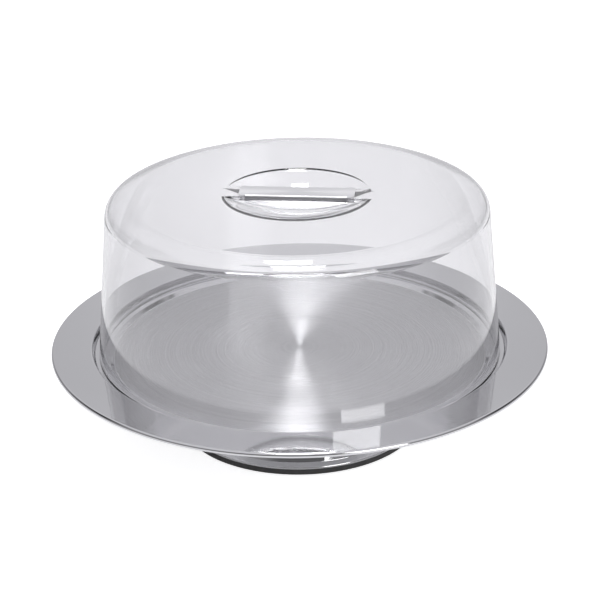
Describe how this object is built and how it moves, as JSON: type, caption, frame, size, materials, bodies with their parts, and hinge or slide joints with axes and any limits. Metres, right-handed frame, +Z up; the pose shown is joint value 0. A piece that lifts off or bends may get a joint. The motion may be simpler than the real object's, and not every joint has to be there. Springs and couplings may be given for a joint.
{
  "type": "covered cake plate",
  "caption": "Round steel cake plate turning on a low bell foot, under a clear plastic dome with a sunk bridge grip.",
  "frame": {"origin": "centre of the foot's resting plane, under the pivot", "axes": "+Z up along the pivot; the grip's bridge runs along X; -Y is the front"},
  "size_m": [0.37, 0.37, 0.1841],
  "materials": {
    "polished_steel": "mirror-polished stainless; the cake floor is circular-brushed",
    "satin_steel": "satin stainless",
    "plain_steel": "plain, zinc plated",
    "ball_steel": "polished",
    "brass": "stamped",
    "white_nylon": "matte",
    "black_rubber": "matte",
    "clear_plastic": "clear, polished"
  },
  "bodies": {
    "foot": {"foot_shell": "polished_steel", "foot_stiffener": "plain_steel", "foot_ring": "black_rubber", "lower_race": "plain_steel", "lower_race_screws": "plain_steel", "lower_race_nuts": "plain_steel", "pivot_bush": "white_nylon"},
    "plate": {"cake_plate": "polished_steel", "plate_hub": "plain_steel", "upper_race": "plain_steel", "upper_race_screws": "plain_steel", "pivot_bolt": "plain_steel", "slide_washer": "plain_steel", "spring_washer": "plain_steel"},
    "cage": {"ball_cage": "brass", "bearing_balls": "ball_steel"},
    "dome": {"dome": "clear_plastic", "grip_cover": "satin_steel"}
  },
  "joints": [
    {"name": "plate_spin", "type": "hinge", "parent": "foot", "child": "plate", "pos_m": [0, 0, 0.0519], "axis": [0, 0, 1], "continuous": true},
    {"name": "cage_spin", "type": "hinge", "parent": "foot", "child": "cage", "pos_m": [0, 0, 0.0519], "axis": [0, 0, 1], "continuous": true},
    {"name": "dome_lift", "type": "slide", "parent": "plate", "child": "dome", "axis": [0, 0, 1], "range_m": [0, 0.2]}
  ],
  "couplings": [
    {"joint": "cage_spin", "follows": "plate_spin", "ratio": 0.5}
  ]
}
